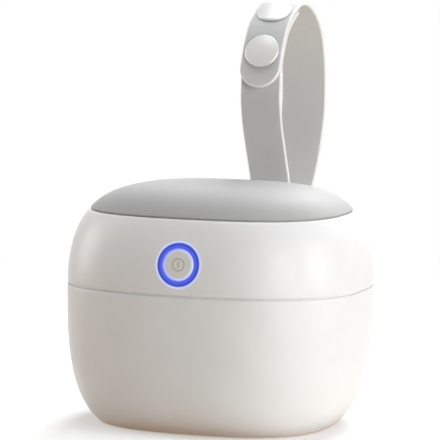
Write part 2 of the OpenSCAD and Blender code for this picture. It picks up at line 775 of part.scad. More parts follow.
module power_button() {
  color("whitesmoke")
    difference() {
      intersection() {
        at_button()
          rotate_extrude()
            polygon([
              [0, -1], [button_r, -1], [button_r, button_flange_at],
              [button_flange_r, button_flange_at], [button_flange_r, button_flange_at + 0.7],
              [plunger_r, button_flange_at + 0.7], [plunger_r, switch_face - 1],
              [0, switch_face - 1]]);
        wall_front_block(button_sink);
      }
      at_button(button_sink + icon_depth) mirror([0, 0, 1]) power_icon();
    }
}

// Engraved power sign: a ring with a short bar in it
module power_icon() {
  difference() {
    cylinder(r = icon_r, h = 2);
    translate([0, 0, -1]) cylinder(r = icon_r - icon_line, h = 4);
  }
  translate([0, 0, 1]) cube([icon_line, icon_r, 2], center = true);
}

module charge_board() {
  board_mid_x = -(charge_screw_x + 0.6);
  color("darkgreen")
    translate([board_mid_x, 0, charge_z])
      difference() {
        rounded_plate(6.4, 2 * (charge_screw_y + charge_post_r), board_t, 0.8);
        for (side = [-1, 1])
          translate([-charge_screw_x - board_mid_x, side * charge_screw_y, -1])
            cylinder(r = screw_r + 0.1, h = board_t + 2);
      }
}

// Receptacle with its opening at the left side wall and a contact tongue inside
module charge_socket() {
  shell_t = 0.3;
  tongue_t = 0.7;
  color("silver")
    translate([socket_face_x, 0, charge_z + board_t + socket_h / 2])
      rotate([0, 90, 0])
        union() {
          difference() {
            rounded_plate(socket_h, socket_w, socket_l, 1.4);
            translate([0, 0, -1])
              rounded_plate(socket_h - 2 * shell_t, socket_w - 2 * shell_t, socket_l - 1, 1.2);
          }
          translate([0, 0, shell_t + 0.5])
            rounded_plate(tongue_t, socket_w - 2.4, socket_l - 2 * shell_t - 0.5, 0.3);
        }
}

module board_screws() {
  color("lightgray") {
    at_button(board_at + board_t)
      for (side = [-1, 1]) translate([side * board_pitch, 0, 0]) screw(board_screw_l);
    for (side = [-1, 1])
      translate([-charge_screw_x, side * charge_screw_y, charge_z + board_t]) screw(board_screw_l);
  }
}

module battery() {
  color("slategray")
    translate([0, 0, battery_top_z - battery_t]) rounded_plate(battery_l, battery_w, battery_t, 2);
}

module battery_pad() {
  color("black")
    translate([0, 0, battery_top_z])
      rounded_plate(battery_l - 4, battery_w - 4, battery_pad_t, 2);
}

// ---- pins -----------------------------------------------------------------
module hinge_pin() {
  color("silver")
    translate([-hinge_l / 2, hinge_y, seam_z]) rotate([0, 90, 0])
      cylinder(r = hinge_pin_r, h = hinge_l);
}

module strap_pin() {
  pin_l = 2 * (ear_x + ear_t);
  color("white")
    translate([-pin_l / 2, pin_y, pin_z]) rotate([0, 90, 0]) cylinder(r = strap_pin_r, h = pin_l);
}

// ---- strap ----------------------------------------------------------------
snap_hole_r = 1.8;
cap_h = 1.5;
stud_r = 4.2;
stud_t = 1;

module strap() {
  edge_a = [for (i = [0:len(strap_route) - 1]) side_step(strap_route, i, strap_t / 2)];
  edge_b = [for (i = [len(strap_route) - 1:-1:0]) side_step(strap_route, i, -strap_t / 2)];
  color("darkgray")
    difference() {
      union() {
        translate([0, pin_y, pin_z]) along_x(strap_w) polygon(concat(edge_a, edge_b));
        at_strap(free_end, left_of(free_heading))
          translate([0, 0, -strap_t / 2]) cylinder(r = strap_w / 2, h = strap_t);
      }
      translate([-strap_w, pin_y, pin_z]) rotate([0, 90, 0])
        cylinder(r = strap_bore_r, h = 2 * strap_w);
      for (s = snap_places)
        at_strap(s[0], s[1]) {
          translate([0, 0, -strap_t]) cylinder(r = snap_hole_r + seat_fit, h = 2 * strap_t + layer_pitch);
          translate([0, 0, -1.5 * strap_t]) cylinder(r = snap_r + seat_fit, h = strap_t);
          translate([0, 0, layer_pitch + strap_t / 2]) cylinder(r = stud_r + seat_fit, h = strap_t);
        }
    }
}

module snap_caps() {
  color("white")
    for (s = snap_places)
      at_strap(s[0], s[1]) translate([0, 0, -strap_t / 2 - seat_fit])
        rotate_extrude()
          polygon([
            [0, -cap_h], [snap_r * 0.4, -cap_h * 0.93], [snap_r * 0.75, -cap_h * 0.7],
            [snap_r * 0.95, -cap_h * 0.38], [snap_r, -cap_h * 0.15], [snap_r, 0],
            [snap_hole_r, 0], [snap_hole_r, strap_t + layer_gap], [1, strap_t + layer_gap],
            [1, 0.3], [0, 0.3]]);
}

module snap_studs() {
  color("white")
    for (s = snap_places)
      at_strap(s[0], s[1]) translate([0, 0, layer_pitch + strap_t / 2 + seat_fit])
        rotate_extrude()
          polygon([
            [0, stud_t], [stud_r * 0.7, stud_t], [stud_r, stud_t * 0.4], [stud_r, 0],
            [0.9, 0], [0.9, 0.6 - 2 * strap_t], [0, 0.6 - 2 * strap_t]]);
}

base_shell();
base_liner();
foot_pad();
base_screws();
base_magnets();
lid_shell();
lid_cap();
lid_reflector();
lid_screws();
lid_magnets();
seal_ring();
uv_window();
window_seal();
lamp_board();
uv_lamps();
lamp_screws();
main_board();
ring_leds();
lid_sensor();
tact_switch();
light_ring();
charge_board();
charge_socket();
board_screws();
battery();
battery_pad();
hinge_pin();
strap_pin();
power_button();
switch_plunger();
strap();
snap_caps();
snap_studs();
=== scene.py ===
import math

import bmesh
import bpy
from mathutils import Matrix, Vector


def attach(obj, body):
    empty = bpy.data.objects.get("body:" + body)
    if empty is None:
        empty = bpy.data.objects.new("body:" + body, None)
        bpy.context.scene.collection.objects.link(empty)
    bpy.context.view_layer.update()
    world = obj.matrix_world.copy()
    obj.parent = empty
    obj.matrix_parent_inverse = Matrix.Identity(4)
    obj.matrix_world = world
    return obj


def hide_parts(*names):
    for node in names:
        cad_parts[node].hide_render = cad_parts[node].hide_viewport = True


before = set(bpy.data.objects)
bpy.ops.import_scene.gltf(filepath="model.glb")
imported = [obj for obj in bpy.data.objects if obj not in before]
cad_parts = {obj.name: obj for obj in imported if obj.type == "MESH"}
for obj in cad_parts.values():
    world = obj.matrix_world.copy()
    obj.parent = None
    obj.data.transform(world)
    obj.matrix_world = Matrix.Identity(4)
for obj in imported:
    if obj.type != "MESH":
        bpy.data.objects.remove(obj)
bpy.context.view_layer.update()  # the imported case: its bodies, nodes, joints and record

scene = bpy.context.scene
scene.view_settings.view_transform = "Standard"
mm = 0.001

# --------------------
# The camera stands a little above the case and to its right, a long way off, and
# leans by less than a degree, as the one that took the photograph did.
camera_turn, camera_rise, camera_lean = (math.radians(a) for a in (18.731, 5.827, 0.934))
camera_aim = Vector((-0.65, -0.22, 60.85)) * mm
camera_distance = 895.7 * mm


def put(name, data):
    """An object of its data, in the scene"""
    thing = bpy.data.objects.new(name, data)
    scene.collection.objects.link(thing)
    return thing


camera = scene.camera = put("camera", bpy.data.cameras.new("camera"))
camera.data.lens, camera.data.sensor_width = 242.9, 36  # in the camera's own millimetres
camera.data.clip_start = 10 * mm
level = Vector((math.cos(camera_turn), math.sin(camera_turn), 0))
back = Vector((math.sin(camera_turn) * math.cos(camera_rise),
               -math.cos(camera_turn) * math.cos(camera_rise), math.sin(camera_rise)))
right = level * math.cos(camera_lean) + back.cross(level) * math.sin(camera_lean)
facing = Matrix((right, back.cross(right), back)).transposed().to_4x4()
camera.matrix_world = Matrix.Translation(camera_aim + back * camera_distance) @ facing

# --------------------
# A pale studio: a wide floor that fades into white behind the case, and soft
# panels of light. More of it comes from the right, so the left side falls off.
floor_half = 3.0
floor_glow = 0.33  # light of the floor's own, so that it ends up white
floor_tones = (0.78, 0.82)  # its faintly cloudy paint
lit_radius, white_radius = 0.16, 0.42  # it takes shadow inside one, is white outside the other
floor_bounce = (0.33, 0.26, 0.18, 1)  # its tone in the light that it throws back
contact_shade_bounce = (0.22, 0.12, 0.05, 1)  # and close under the case, darker and warmer: painted contact shade
contact_shade_glow = (0.16, 0.075, 0.01, 1)  # light thrown up from close under the case, dimmer and warmer than the sides: painted contact shade
contact_edge = (0.036, 0.044)  # the radii between which that ends
bright_side = (0.445, 0.46, 0.44, 1)  # light thrown up by the floor's right half
dim_side = (0.08, 0.03, 0.0, 1)  # and by its left half
side_band = (-0.08, 0.035)  # the stretch of X where one turns into the other
panel_distance, panel_size = 1.1, 0.5
panel_aim = Vector((0, 0, 0.06))


def add(tree, kind, setting=None, **values):
    """A shader node with one setting, such as its operation, and its inputs set by name"""
    node = tree.nodes.new("ShaderNode" + kind)
    node.location = (-200 * len(tree.nodes), 0)
    if setting:
        setattr(node, *setting)
    for name, value in values.items():
        node.inputs[name.replace("_", " ")].default_value = value
    return node


def wire(tree, *links):
    """Links, each given as a node, its output, the next node and its input"""
    for source, output, target, socket in links:
        tree.links.new(source.outputs[output], target.inputs[socket])


def bare_tree(owner):
    """The empty node tree of a material or a world"""
    owner.use_nodes = True
    owner.node_tree.nodes.clear()
    return owner.node_tree


def seen_directly(tree):
    """1 for rays from the camera, from gloss and through glass, else 0"""
    path = add(tree, "LightPath")
    first = add(tree, "Math", ("operation", "MAXIMUM"))
    both = add(tree, "Math", ("operation", "MAXIMUM"))
    wire(tree, (path, "Is Camera Ray", first, 0), (path, "Is Glossy Ray", first, 1),
         (first, 0, both, 0), (path, "Is Transmission Ray", both, 1))
    return both


def floor_finish():
    """Painted and shaded where it is seen, tinted in the light it throws up and darker in it close
    under the case as painted contact shade, clear from below
    """
    finish = bpy.data.materials.new("floor")
    tree = bare_tree(finish)
    place = add(tree, "TexCoord")
    far = add(tree, "VectorMath", ("operation", "LENGTH"))
    wire(tree, (place, "Object", far, 0))

    grain = add(tree, "TexNoise", Scale=60.0, Detail=3.0)
    tint = add(tree, "MapRange", To_Min=floor_tones[0], To_Max=floor_tones[1])
    lit = add(tree, "BsdfDiffuse")
    own = add(tree, "Emission", Strength=floor_glow)
    both = add(tree, "AddShader")
    white = add(tree, "Emission", Strength=1.0)
    fade = add(tree, "MapRange", ("interpolation_type", "SMOOTHERSTEP"),
               From_Min=lit_radius, From_Max=white_radius)
    seen = add(tree, "MixShader")
    wire(tree, (place, "Object", grain, "Vector"), (grain, "Fac", tint, "Value"),
         (tint, "Result", lit, "Color"), (lit, 0, both, 0), (own, 0, both, 1),
         (far, "Value", fade, "Value"), (fade, "Result", seen, "Fac"),
         (both, 0, seen, 1), (white, 0, seen, 2))

    across = add(tree, "SeparateXYZ")
    band = add(tree, "MapRange", From_Min=side_band[0], From_Max=side_band[1])
    sides = add(tree, "ValToRGB")
    # close under the case the floor's thrown-back light turns darker and warmer: painted contact
    # shade
    away = add(tree, "MapRange", From_Min=contact_edge[0], From_Max=contact_edge[1])
    tone = add(tree, "ValToRGB")
    for node, colours in ((sides, (dim_side, bright_side)),
                          (tone, (contact_shade_bounce, floor_bounce))):
        for stop, colour in zip(node.color_ramp.elements, colours):
            stop.color = colour
    either = add(tree, "Mix", ("data_type", "RGBA"))
    either.inputs[6].default_value = contact_shade_glow  # 6 and 7 are its colours, 2 the mixed one
    thrown = add(tree, "Emission", Strength=1.0)
    matte = add(tree, "BsdfDiffuse")
    bounce = add(tree, "AddShader")
    wire(tree, (place, "Object", across, 0), (across, "X", band, "Value"),
         (band, "Result", sides, "Fac"), (far, "Value", away, "Value"),
         (away, "Result", either, "Factor"), (away, "Result", tone, "Fac"),
         (sides, "Color", either, 7), (either, 2, thrown, "Color"),
         (tone, "Color", matte, "Color"), (matte, 0, bounce, 0), (thrown, 0, bounce, 1))

    shown = add(tree, "MixShader")
    under = add(tree, "BsdfTransparent")
    side = add(tree, "NewGeometry")
    one_sided = add(tree, "MixShader")
    out = add(tree, "OutputMaterial")
    wire(tree, (seen_directly(tree), 0, shown, "Fac"), (bounce, 0, shown, 1), (seen, 0, shown, 2),
         (side, "Backfacing", one_sided, "Fac"), (shown, 0, one_sided, 1),
         (under, 0, one_sided, 2), (one_sided, 0, out, "Surface"))
    return finish


def studio_floor():
    """A wide plain square"""
    mesh = bpy.data.meshes.new("floor")
    corners = [(x * floor_half, y * floor_half, 0)
               for x, y in ((-1, -1), (1, -1), (1, 1), (-1, 1))]
    mesh.from_pydata(corners, [], [(0, 1, 2, 3)])
    mesh.materials.append(floor_finish())
    put("floor", mesh)


def studio_air():
    """The world: white where it is seen, and dark to all else, so that it lights nothing"""
    scene.world = bpy.data.worlds.new("studio")
    tree = bare_tree(scene.world)
    dark = add(tree, "Background", Color=(1, 1, 1, 1), Strength=0.0)
    white = add(tree, "Background", Color=(1, 1, 1, 1), Strength=1.0)
    mix = add(tree, "MixShader")
    out = add(tree, "OutputWorld")
    wire(tree, (seen_directly(tree), 0, mix, "Fac"), (dark, 0, mix, 1), (white, 0, mix, 2),
         (mix, 0, out, "Surface"))


def panel(name, turn, rise, watts):
    """A soft square panel of light that faces the case; turn 0 is in front, 90 at its right"""
    turn, rise = math.radians(turn), math.radians(rise)
    away = Vector((math.sin(turn) * math.cos(rise), -math.cos(turn) * math.cos(rise),
                   math.sin(rise)))
    lamp = put(name, bpy.data.lights.new(name, "AREA"))
    lamp.data.shape, lamp.data.size, lamp.data.energy = "SQUARE", panel_size, watts
    lamp.location = panel_aim + panel_distance * away
    lamp.rotation_mode = "QUATERNION"
    lamp.rotation_quaternion = (-away).to_track_quat("-Z", "Y")


studio_floor()
studio_air()
for name, turn, rise, watts in (
        ("left_low", -90, 10, 4.3), ("left_high", -90, 35, 0.9), ("overhead", 0, 90, 5.0),
        ("rear", 180, 35, 8.2), ("rear_high", 180, 60, 2.3), ("front_right", 45, 10, 4.8),
        ("right_low", 90, 10, 4.75)):
    panel(name, turn, rise, watts)

# --------------------
# The base shell is a thick white moulding whose sections are rounded squares. It
# swells to its widest just under the seam, where its lip stands round the bowl.
# Two hinge knuckles are moulded onto its back, with the pin's bore through them.
half_width, half_depth = 45 * mm, 40 * mm
body_height = 71.6 * mm
foot_stand = 0.4 * mm
widest_height = 40.2 * mm
plan_power = 2.6
base_cut, base_bow, base_edge = 0.9, 2.7, 5.7
crown_bow, crown_edge = 2.35, 4.9
seam_height, seam_gap = 41.75 * mm, 0.4 * mm
base_top = seam_height - seam_gap / 2
tongue_top = seam_height + 0.1 * mm  # a low rim in the seam, so that it shows no gap
wall = 2 * mm
floor_thickness = 3 * mm
flange_thickness = 2 * mm
ledge_inset, ledge_width = 2.4 * mm, 0.9 * mm
foot_inset, foot_recess = 3.5 * mm, 1.0 * mm
soft_edge, small_edge = 0.45 * mm, 0.15 * mm  # radii of shown edges and of hidden ones
seat_fit = 0.05 * mm  # gap round what sits in something
moving_gap = 0.3 * mm
pin_radius = 1 * mm
pressed_fit, turning_fit = 0.02 * mm, 0.06 * mm
hinge_y, hinge_z = half_depth + 3.2 * mm, foot_stand + seam_height
knuckle_radius, knuckle_web = 2.8 * mm, 8 * mm
lid_knuckle_width, base_knuckle_width = 11.6 * mm, 8 * mm
white_colour = (0.828, 0.832, 0.85)
even_depth = (1, 0.95, 0.9)  # light of all colours soaks in about as deep


def fullness(height):
    """Share of the full half width that the case has at a height over its underside"""
    if height < widest_height:
        fall = base_cut * (widest_height - height) / widest_height
        return max(1 - fall ** base_bow, 0) ** (1 / base_edge)
    rise = min((height - widest_height) / (body_height - widest_height), 1)
    return (1 - rise ** crown_bow) ** (1 / crown_edge)


def around(count):
    """Cosine and sine at equal steps of a full turn"""
    return [(math.cos(2 * math.pi * k / count), math.sin(2 * math.pi * k / count))
            for k in range(count)]


def quarter(steps):
    """Angles of a quarter turn"""
    return [math.pi / 2 * k / steps for k in range(steps + 1)]


def section(a, b, z, power=plan_power, count=240):
    """A rounded-square loop with half sizes a and b"""
    loop = []
    for c, s in around(count):
        r = ((abs(c) / a) ** power + (abs(s) / b) ** power) ** (-1 / power)
        loop.append(Vector((r * c, r * s, z)))
    return loop


def flat_ring(height, inset):
    """Section at a height, set straight in from the wall"""
    g = fullness(height)
    return section(half_width * g - inset, half_depth * g - inset, foot_stand + height)


def rounded(a, b, z, out, up, turns):
    """Sections round an edge, from one that is out by a width to one that is up by a height"""
    return [section(a + out * (1 - math.sin(t)), b + out * (1 - math.sin(t)),
                    z + up * (1 - math.cos(t))) for t in turns]


def side_ring(height, depth):
    """Section of the side wall, set in by a depth along the wall's own slope"""
    step = 0.2 * mm
    mean = (half_width + half_depth) / 2
    s = mean * (fullness(height + step) - fullness(height - step)) / (2 * step)
    k = depth / math.sqrt(1 + s * s)
    g = fullness(height)
    return section(half_width * g - k, half_depth * g - k, foot_stand + height + k * s)


def soft_corner(face, radius, rise=1):
    """Sections round an outer edge, onto a face above the wall, or below it with rise -1"""
    return [flat_ring(face - rise * radius * (1 - math.sin(t)), radius * (1 - math.cos(t)))
            for t in quarter(5)]


def smoothed(mesh, crease=32):
    """Outward faces, smooth except over creases"""
    work = bmesh.new()
    work.from_mesh(mesh)
    bmesh.ops.remove_doubles(work, verts=work.verts, dist=0.0004 * mm)
    bmesh.ops.recalc_face_normals(work, faces=work.faces)
    work.to_mesh(mesh)
    work.free()
    mesh.shade_smooth()
    mesh.set_sharp_from_angle(angle=math.radians(crease))
    return mesh


def loft(name, loops, closed=False, crease=32, finishes=None):
    """A skin through loops of points, capped flat at its ends or joined end to end, with
    the number of each face's finish if it has several"""
    n, m = len(loops[0]), len(loops)
    faces = []
    for k in range(m if closed else m - 1):
        a, b = k * n, (k + 1) % m * n
        faces += [(a + i, a + (i + 1) % n, b + (i + 1) % n, b + i) for i in range(n)]
    if not closed:
        faces += [tuple(range(n)), tuple(range((m - 1) * n, m * n))]
    mesh = bpy.data.meshes.new(name)
    mesh.from_pydata([p for loop in loops for p in loop], [], faces)
    if finishes:
        mesh.polygons.foreach_set("material_index", finishes)
    return put(name, smoothed(mesh, crease))


def bar(name, profile, width, middle=0, chamfer=0.25 * mm):
    """A profile of (y, z) points drawn out along X, with its end edges broken"""
    work = bmesh.new()
    x = middle - width / 2
    face = work.faces.new([work.verts.new((x, y, z)) for y, z in profile])
    out = bmesh.ops.extrude_face_region(work, geom=[face])
    bmesh.ops.translate(work, vec=(width, 0, 0),
                        verts=[v for v in out["geom"] if isinstance(v, bmesh.types.BMVert)])
    rims = [e for e in work.edges if abs(e.verts[0].co.x - e.verts[1].co.x) < 1e-7]
    bmesh.ops.bevel(work, geom=rims, offset=chamfer, segments=2, affect="EDGES", profile=0.5)
    mesh = bpy.data.meshes.new(name)
    work.to_mesh(mesh)
    work.free()
    return put(name, smoothed(mesh))


def rod(radius, start, end, count=64):
    """A plain round bar between two points, used as a cutter"""
    axis = (end - start).normalized()
    side = axis.orthogonal().normalized()
    return loft("rod", [[p + radius * (c * side + s * axis.cross(side)) for c, s in around(count)]
                        for p in (start, end)])


def combine(piece, other, how="DIFFERENCE"):
    """Cuts another solid from a piece, or welds it on with UNION, and clears the other away"""
    step = piece.modifiers.new("step", "BOOLEAN")
    step.operation, step.solver, step.object = how, "EXACT", other
    graph = bpy.context.evaluated_depsgraph_get()
    made = bpy.data.meshes.new_from_object(piece.evaluated_get(graph))
    piece.modifiers.clear()
    piece.data = smoothed(made)
    bpy.data.objects.remove(other)


def bore(piece, y, z, radius):
    """A bore along X through a piece"""
    centre, reach = Vector((0, y, z)), Vector((30 * mm, 0, 0))
    combine(piece, rod(radius, centre - reach, centre + reach))


def moulded(name, colour, roughness, mottle=0.015, patch=9 * mm, grain=0.22 * mm,
            relief=0.006 * mm, uneven=0.04, soak=None, **sockets):
    """A moulded surface: faintly uneven colour and gloss, and a fine grain in relief. Light
    soaks into it by a share and a depth."""
    finish = bpy.data.materials.new(name)
    finish.use_nodes = True
    tree = finish.node_tree
    shader = tree.nodes["Principled BSDF"]
    low, high = 0.3, 0.7  # nearly all of the cloud's values lie between these
    place = add(tree, "TexCoord")
    cloud = add(tree, "TexNoise", Scale=1 / patch, Detail=4.0)
    tone = add(tree, "ValToRGB")
    for stop, position, share in zip(tone.color_ramp.elements, (low, high),
                                     (1 - mottle, 1 + mottle)):
        stop.position = position
        stop.color = (*[min(c * share, 1) for c in colour], 1)
    gloss = add(tree, "MapRange", From_Min=low, From_Max=high,
                To_Min=max(roughness - uneven, 0.02), To_Max=min(roughness + uneven, 1))
    fine = add(tree, "TexNoise", Scale=1 / grain, Detail=2.0)
    bump = add(tree, "Bump", Strength=1.0, Distance=relief)
    wire(tree, (place, "Object", cloud, "Vector"), (place, "Object", fine, "Vector"),
         (cloud, "Fac", tone, "Fac"), (cloud, "Fac", gloss, "Value"),
         (fine, "Fac", bump, "Height"), (tone, "Color", shader, "Base Color"),
         (gloss, "Result", shader, "Roughness"), (bump, "Normal", shader, "Normal"))
    if soak:
        sockets.update(Subsurface_Weight=soak[0], Subsurface_Scale=soak[1],
                       Subsurface_Radius=even_depth)
    for socket, value in sockets.items():
        shader.inputs[socket.replace("_", " ")].default_value = value
    return finish


def white_plastic(name):
    """The case's white plastic, slightly glossy, with a little light in its depth"""
    return moulded(name, white_colour, 0.42, soak=(0.08, 1.5 * mm), Coat_Weight=0.05,
                   Coat_Roughness=0.25)


def fit(piece, body, finish, node):
    """Gives a piece its finish and its place on a body, in the stead of a solid"""
    if finish:
        piece.data.materials.clear()
        piece.data.materials.append(finish)
    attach(piece, body)
    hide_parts(node)


def knuckle(up, middle, width):
    """A hinge knuckle and its web; up is 1 on the lid and -1 on the base"""
    reach = math.degrees(math.asin(seam_gap / 2 / knuckle_radius))
    profile = [(hinge_y + knuckle_radius * math.cos(t),
                hinge_z - up * knuckle_radius * math.sin(t))
               for t in map(math.radians, (180 - reach, *range(168, -37, -12), -40))]
    root = half_depth - wall / 2
    profile += [(root, hinge_z + up * knuckle_web), (root, hinge_z + up * seam_gap / 2)]
    return bar("knuckle", profile, width, middle)


def base_shell():
    ledge = base_top - seat_fit - flange_thickness - seat_fit
    low, fillet = 1.8 * mm, 2.5 * mm  # where the walls inside end, and turn into the floor
    recess = [section(foot_half[0] + g, foot_half[1] + g, foot_stand + z)
              for g, z in ((seat_fit, foot_recess), (seat_fit, small_edge),
                           (seat_fit + small_edge, 0))]
    outside = [side_ring((base_top - soft_edge) * (k / 60) ** 1.4, 0) for k in range(60)]
    lip = soft_corner(base_top, soft_edge)
    tongue = [flat_ring(height, inset * mm) for height, inset in (
        (base_top, 0.6), (tongue_top, 0.62), (tongue_top, 1.3), (base_top, 1.35))]
    inside_lip = [flat_ring(base_top, ledge_inset - small_edge),
                  flat_ring(base_top - small_edge, ledge_inset),
                  flat_ring(ledge, ledge_inset), flat_ring(ledge, ledge_inset + ledge_width)]
    inside = [side_ring(low + (ledge - 2 * mm - low) * (k / 24) ** 1.5, wall)
              for k in range(24, -1, -1)]
    bed = [section(half_width * fullness(low) - wall - fillet,
                   half_depth * fullness(low) - wall - fillet, foot_stand + floor_thickness)]
    shell = loft("base_shell_skin", recess + outside + lip + tongue + inside_lip + inside + bed)
    for side in (-1, 1):
        middle = side * (lid_knuckle_width / 2 + moving_gap + base_knuckle_width / 2)
        combine(shell, knuckle(-1, middle, base_knuckle_width), "UNION")
    bore(shell, hinge_y, hinge_z, pin_radius + pressed_fit)
    fit(shell, "base", white_plastic("white_base"), "base_shell")


foot_half = (half_width * fullness(0) - foot_inset, half_depth * fullness(0) - foot_inset)
base_shell()

# --------------------
# The bowl is a mirror-plated moulding that drops into the base and rests on the
# ledge inside its lip. It throws the lamps' light back onto the pacifier.
bowl_inset, bowl_draw, bowl_floor = 10 * mm, 5 * mm, 8 * mm
bowl_half = (half_width - bowl_inset - bowl_draw, half_depth - bowl_inset - bowl_draw)
bowl_lip, flange_edge = 0.5 * mm, 0.3 * mm
mirror_thickness = 1.2 * mm
flange_top = base_top - seat_fit


def mirror(name):
    """Vacuum-plated plastic, bright and faintly wavy"""
    return moulded(name, (0.88, 0.885, 0.9), 0.09, mottle=0.01, uneven=0.03,
                   grain=1.4 * mm, relief=0.004 * mm, Metallic=1.0)


def base_liner():
    def wall_rings(grow, top, turns):
        rings = []
        for t in turns:
            reach = bowl_draw * math.cos(t) + grow
            z = bowl_floor - grow + (top - bowl_floor) * (1 - math.sin(t))
            rings.append(section(bowl_half[0] + reach, bowl_half[1] + reach, foot_stand + z))
        return rings

    turns = quarter(28)
    outer = wall_rings(mirror_thickness, flange_top - flange_thickness + mirror_thickness,
                       turns[::-1])
    edge = ledge_inset + seat_fit
    flange = [flat_ring(flange_top - flange_thickness, edge),
              flat_ring(flange_top - flange_edge, edge), flat_ring(flange_top, edge + flange_edge)]
    mouth = rounded(half_width - bowl_inset, half_depth - bowl_inset, foot_stand + flange_top,
                    bowl_lip, -bowl_lip, quarter(5)[:-1])
    inner = [r for r in wall_rings(0, flange_top, turns)
             if r[0].z < foot_stand + flange_top - bowl_lip]
    bowl = loft("mirror_bowl", outer + flange + mouth + inner)
    fit(bowl, "base", mirror("mirror_bowl"), "base_liner")


base_liner()

# --------------------
# A thin pad of dark rubber is pressed into a recess in the base's underside. It
# hides the four screws and keeps the case from sliding.
def foot_pad():
    edge, top = 0.25 * mm, foot_stand + foot_recess - seat_fit
    low = rounded(*foot_half, 0, -edge, edge, quarter(4))
    pad = loft("foot_pad", low + [section(*foot_half, top)])
    rubber = moulded("foot_rubber", (0.34, 0.34, 0.345), 0.75, mottle=0.06, patch=5 * mm,
                     grain=0.35 * mm, relief=0.02 * mm)
    fit(pad, "base", rubber, "foot_pad")


foot_pad()

# --------------------
# Four steel screws go up through the base's floor into the bowl's posts. They have
# pan heads with a cross recess, sunk above the pad.
screw_radius, head_radius, head_height = 0.95 * mm, 1.9 * mm, 0.9 * mm
head_edge = 0.35 * mm
slot_half, slot_depth, slot_length = 0.2 * mm, 0.45 * mm, 2.3 * mm
base_screw_spread = (0.67, 0.62)  # places, as shares of the bowl's flat floor


def lathe(name, profile, placing=Matrix(), count=96):
    """A turned piece from (radius, height) points along the local Z axis"""
    piece = loft(name, [section(r, r, h, 2, count) for r, h in profile])
    piece.data.transform(placing)
    return piece


def joined(name, pieces):
    """One piece from several that share a finish"""
    work = bmesh.new()
    for piece in pieces:
        work.from_mesh(piece.data)
        bpy.data.objects.remove(piece)
    mesh = bpy.data.meshes.new(name)
    work.to_mesh(mesh)
    work.free()
    return put(name, smoothed(mesh))


def pan_head(length, x, y, z):
    """A screw whose head looks down from a place, its shank up"""
    profile = [(screw_radius * 0.5, -length), (screw_radius, -length + 0.5 * mm),
               (screw_radius, 0), (head_radius, 0)]
    profile += [(head_radius - head_edge * (1 - math.cos(t)),
                 head_height - head_edge * (1 - math.sin(t))) for t in quarter(5)]
    screw = lathe("screw", profile, count=48)
    for turn in (0, math.pi / 2):
        low, high = head_height - slot_depth, head_height + 1 * mm
        slot = bar("slot", [(-slot_half, low), (slot_half, low), (slot_half, high),
                            (-slot_half, high)], slot_length, chamfer=0.02 * mm)
        slot.data.transform(Matrix.Rotation(turn, 4, "Z"))
        combine(screw, slot)
    screw.data.transform(Matrix.Translation((x, y, z)) @ Matrix.Rotation(math.pi, 4, "X"))
    return screw


def steel(name, colour=(0.62, 0.62, 0.64), roughness=0.3, patch=9 * mm):
    """Bare or plated metal"""
    return moulded(name, colour, roughness, patch=patch, Metallic=1.0)


def base_screws():
    z = foot_stand + foot_recess + head_height + 0.1 * mm
    length = bowl_floor - mirror_thickness - (z - foot_stand) - 0.3 * mm
    a, b = (half * share for half, share in zip(bowl_half, base_screw_spread))
    screws = [pan_head(length, x * a, y * b, z) for x in (-1, 1) for y in (-1, 1)]
    fit(joined("base_screws", screws), "base", steel("steel_screws", patch=2 * mm),
        "base_screws")


base_screws()

# --------------------
# Two nickel-plated disc magnets are pressed into bosses in the base's front. They
# meet their fellows in the lid and hold it shut.
nickel = (0.5, 0.5, 0.52)


def repaint(node, finish):
    """Gives a solid that is shown as it is its own finish"""
    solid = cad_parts[node]
    solid.data.materials.clear()
    solid.data.materials.append(finish)
    solid.data.shade_smooth()
    solid.data.set_sharp_from_angle(angle=math.radians(30))


repaint("base_magnets", steel("base_magnets", nickel))

# --------------------
# The hinge pin is a plain steel pin pressed through the base's two knuckles. The
# lid's middle knuckle turns on it.
repaint("hinge_pin", steel("hinge_pin", roughness=0.28))

# --------------------
# The lid shell carries on the base's round wall up to the rim of the grey cap. Its
# roof lies under the cap; behind are the middle hinge knuckle and two ears for the
# strap's pin, in front the bore for the lit ring, at the left the charging slot.
lid_bottom = seam_height + seam_gap / 2
rim_height = body_height - 7.9 * mm
cap_groove, cap_thickness = 0.4 * mm, 1.6 * mm
crisp_edge = 0.3 * mm  # radius of the lid's lower edge and of the cap's
lid_wall = wall + 0.8 * mm
cover_ledge = lid_bottom + flange_thickness + seat_fit
button_height = seam_height + 9.25 * mm
ring_radius, button_radius = 6.55 * mm, 4.55 * mm
tilt = math.atan(half_depth * (fullness(button_height - mm) - fullness(button_height + mm))
                 / (2 * mm))
button_at = Vector((0, -half_depth * fullness(button_height), foot_stand + button_height))
button_in = Vector((0, math.cos(tilt), -math.sin(tilt)))
strap_pin_at = Vector((0, half_depth + 7 * mm, foot_stand + seam_height + 8.35 * mm))
strap_pin_radius = 1.75 * mm
strap_width = 13 * mm
ear_radius, ear_thickness = strap_pin_radius + 1.65 * mm, 3 * mm
slot_wide, slot_high, slot_corner = 9.2 * mm, 3.5 * mm, 1.5 * mm
slot_middle, slot_reach = -43.2 * mm, 9 * mm
crown_shares = [fullness(rim_height + cap_groove) * (0.12 + 0.86 * k / 24) for k in range(25)]


def crown_height(share):
    """Height of the crown where the case has a share of its full half width"""
    bow = (1 - share ** crown_edge) ** (1 / crown_bow)
    return widest_height + (body_height - widest_height) * bow


def crown_ring(share, depth):
    """Section of the crown at a share of the full half width, set in along its normal"""
    step = 0.02
    mean = (half_width + half_depth) / 2
    s = (crown_height(share - step) - crown_height(share + step)) / (2 * step * mean)
    k = depth / math.sqrt(1 + s * s)
    return section(half_width * share - k * s, half_depth * share - k * s,
                   foot_stand + crown_height(share) - k)


